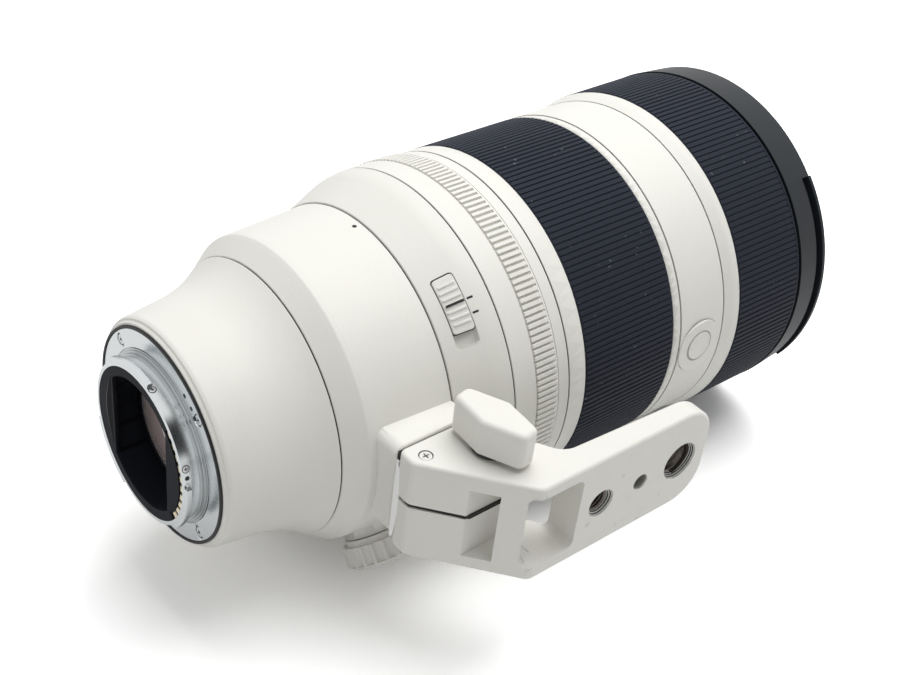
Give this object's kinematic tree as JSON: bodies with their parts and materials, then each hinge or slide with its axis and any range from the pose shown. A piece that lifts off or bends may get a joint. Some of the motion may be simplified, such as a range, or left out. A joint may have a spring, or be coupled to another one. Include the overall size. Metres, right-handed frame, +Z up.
{
  "type": "camera zoom lens",
  "caption": "Fast telephoto zoom lens with bayonet mount, aperture, zoom and focus rings, rotating tripod collar with a lock knob and a clamped removable foot.",
  "frame": {"origin": "centre of the mount's flange face on the optical axis", "axes": "+Y along the optical axis to the front glass, +X towards the tripod foot's plate, +Z up with the lens lying on its side"},
  "size_m": [0.1314, 0.2057, 0.1028],
  "materials": {
    "white_paint": "fine satin paint",
    "knob_white": "satin moulded plastic",
    "switch_white": "satin moulded plastic",
    "grip_rubber": "ribbed matt rubber",
    "seal_rubber": "smooth matt rubber",
    "front_black": "satin black paint",
    "black_metal": "matt black",
    "black_plastic": "matt moulded plastic",
    "mount_steel": "turned and polished",
    "bare_steel": "plain machined",
    "blade_steel": "blackened sheet",
    "motor_steel": "plain",
    "contact_gold": "polished plating",
    "board_green": "solder mask",
    "lens_glass": "polished and coated",
    "rear_glass": "polished and coated"
  },
  "bodies": {
    "barrel": {"bayonet_mount": "mount_steel", "mount_gasket": "seal_rubber", "mount_screws": "mount_steel", "contact_block": "black_plastic", "contact_pads": "contact_gold", "rear_baffle": "black_plastic", "rear_barrel": "white_paint", "rear_cell": "black_metal", "rear_element": "rear_glass", "circuit_board": "board_green", "main_barrel": "black_metal", "switch_barrel": "white_paint", "relay_cell": "black_metal", "relay_element": "lens_glass", "iris_housing": "black_metal", "iris_blades": "blade_steel", "guide_rods": "mount_steel", "focus_motors": "motor_steel", "button_barrel": "white_paint", "front_cell": "black_metal", "front_element": "lens_glass", "front_retainer": "black_plastic", "front_barrel": "front_black"},
    "collar": {"collar_ring": "white_paint", "dovetail_plate": "bare_steel", "plate_screws": "bare_steel"},
    "knob": {"lock_knob": "knob_white"},
    "foot": {"tripod_foot": "white_paint", "thread_bushes": "bare_steel", "foot_side_screw": "white_paint", "clamp_nut": "bare_steel"},
    "lever": {"clamp_lever": "white_paint", "clamp_bolt": "bare_steel"},
    "aperture": {"aperture_ring": "white_paint"},
    "zoom": {"zoom_ring": "white_paint", "zoom_rubber": "grip_rubber"},
    "zoom_front_group": {"zoom_front_cell": "black_metal", "zoom_front_element": "lens_glass", "zoom_front_followers": "bare_steel"},
    "zoom_rear_group": {"zoom_rear_cell": "black_metal", "zoom_rear_element": "lens_glass", "zoom_rear_followers": "bare_steel"},
    "focus": {"focus_ring": "white_paint", "focus_rubber": "grip_rubber"},
    "focus_front_group": {"focus_front_cell": "black_metal", "focus_front_element": "lens_glass"},
    "focus_rear_group": {"focus_rear_cell": "black_metal", "focus_rear_element": "lens_glass"},
    "click_switch": {"click_slider": "switch_white"},
    "focus_mode_switch": {"focus_mode_slider": "switch_white"},
    "full_time_switch": {"full_time_slider": "switch_white"},
    "range_switch": {"range_slider": "switch_white"},
    "iris_lock_switch": {"iris_lock_slider": "switch_white"},
    "lower_button": {"hold_button_lower": "switch_white"},
    "side_button": {"hold_button_side": "switch_white"},
    "upper_button": {"hold_button_upper": "switch_white"}
  },
  "joints": [
    {"name": "collar_turn", "type": "hinge", "parent": "barrel", "child": "collar", "pos_m": [0, 0.0442, 0], "axis": [0, 1, 0], "continuous": true},
    {"name": "knob_turn", "type": "hinge", "parent": "collar", "child": "knob", "pos_m": [0, 0.048, 0], "axis": [0.6691, 0, -0.7431], "range_deg": [0, 300]},
    {"name": "foot_slide", "type": "slide", "parent": "collar", "child": "foot", "axis": [0, -1, 0], "range_m": [0, 0.028]},
    {"name": "lever_turn", "type": "hinge", "parent": "foot", "child": "lever", "pos_m": [0.0614, 0.0556, 0.02], "axis": [0, 0, 1], "range_deg": [0, 180]},
    {"name": "aperture_turn", "type": "hinge", "parent": "barrel", "child": "aperture", "pos_m": [0, 0.085, 0], "axis": [0, 1, 0], "range_deg": [0, 70]},
    {"name": "zoom_turn", "type": "hinge", "parent": "barrel", "child": "zoom", "pos_m": [0, 0.116, 0], "axis": [0, 1, 0], "range_deg": [0, 60]},
    {"name": "zoom_front_slide", "type": "slide", "parent": "barrel", "child": "zoom_front_group", "axis": [0, 1, 0], "range_m": [0, 0.0141]},
    {"name": "zoom_rear_slide", "type": "slide", "parent": "barrel", "child": "zoom_rear_group", "axis": [0, 1, 0], "range_m": [0, 0.0071]},
    {"name": "focus_turn", "type": "hinge", "parent": "barrel", "child": "focus", "pos_m": [0, 0.172, 0], "axis": [0, 1, 0], "continuous": true},
    {"name": "focus_front_slide", "type": "slide", "parent": "barrel", "child": "focus_front_group", "axis": [0, 1, 0], "range_m": [-0.005, 0.005]},
    {"name": "focus_rear_slide", "type": "slide", "parent": "barrel", "child": "focus_rear_group", "axis": [0, 1, 0], "range_m": [-0.0035, 0.0035]},
    {"name": "click_switch_slide", "type": "hinge", "parent": "barrel", "child": "click_switch", "pos_m": [0, 0.0656, 0], "axis": [0, 1, 0], "range_deg": [0, 4]},
    {"name": "focus_mode_switch_slide", "type": "hinge", "parent": "barrel", "child": "focus_mode_switch", "pos_m": [0, 0.0656, 0], "axis": [0, 1, 0], "range_deg": [0, 4]},
    {"name": "full_time_switch_slide", "type": "hinge", "parent": "barrel", "child": "full_time_switch", "pos_m": [0, 0.0656, 0], "axis": [0, 1, 0], "range_deg": [0, 4]},
    {"name": "range_switch_slide", "type": "hinge", "parent": "barrel", "child": "range_switch", "pos_m": [0, 0.0656, 0], "axis": [0, 1, 0], "range_deg": [0, 4]},
    {"name": "iris_lock_switch_slide", "type": "hinge", "parent": "barrel", "child": "iris_lock_switch", "pos_m": [0, 0.0656, 0], "axis": [0, 1, 0], "range_deg": [0, 4]},
    {"name": "lower_button_press", "type": "slide", "parent": "barrel", "child": "lower_button", "axis": [-0.9991, 0, -0.0419], "range_m": [0, 0.0006], "stiffness_N_per_m": 900, "springref_m": -0.0008},
    {"name": "side_button_press", "type": "slide", "parent": "barrel", "child": "side_button", "axis": [-0.0419, 0, 0.9991], "range_m": [0, 0.0006], "stiffness_N_per_m": 900, "springref_m": -0.0008},
    {"name": "upper_button_press", "type": "slide", "parent": "barrel", "child": "upper_button", "axis": [0.9991, 0, 0.0419], "range_m": [0, 0.0006], "stiffness_N_per_m": 900, "springref_m": -0.0008}
  ],
  "couplings": [
    {"joint": "zoom_front_slide", "follows": "zoom_turn", "m_per_rad": 0.013369},
    {"joint": "zoom_rear_slide", "follows": "zoom_turn", "m_per_rad": 0.0066845}
  ]
}
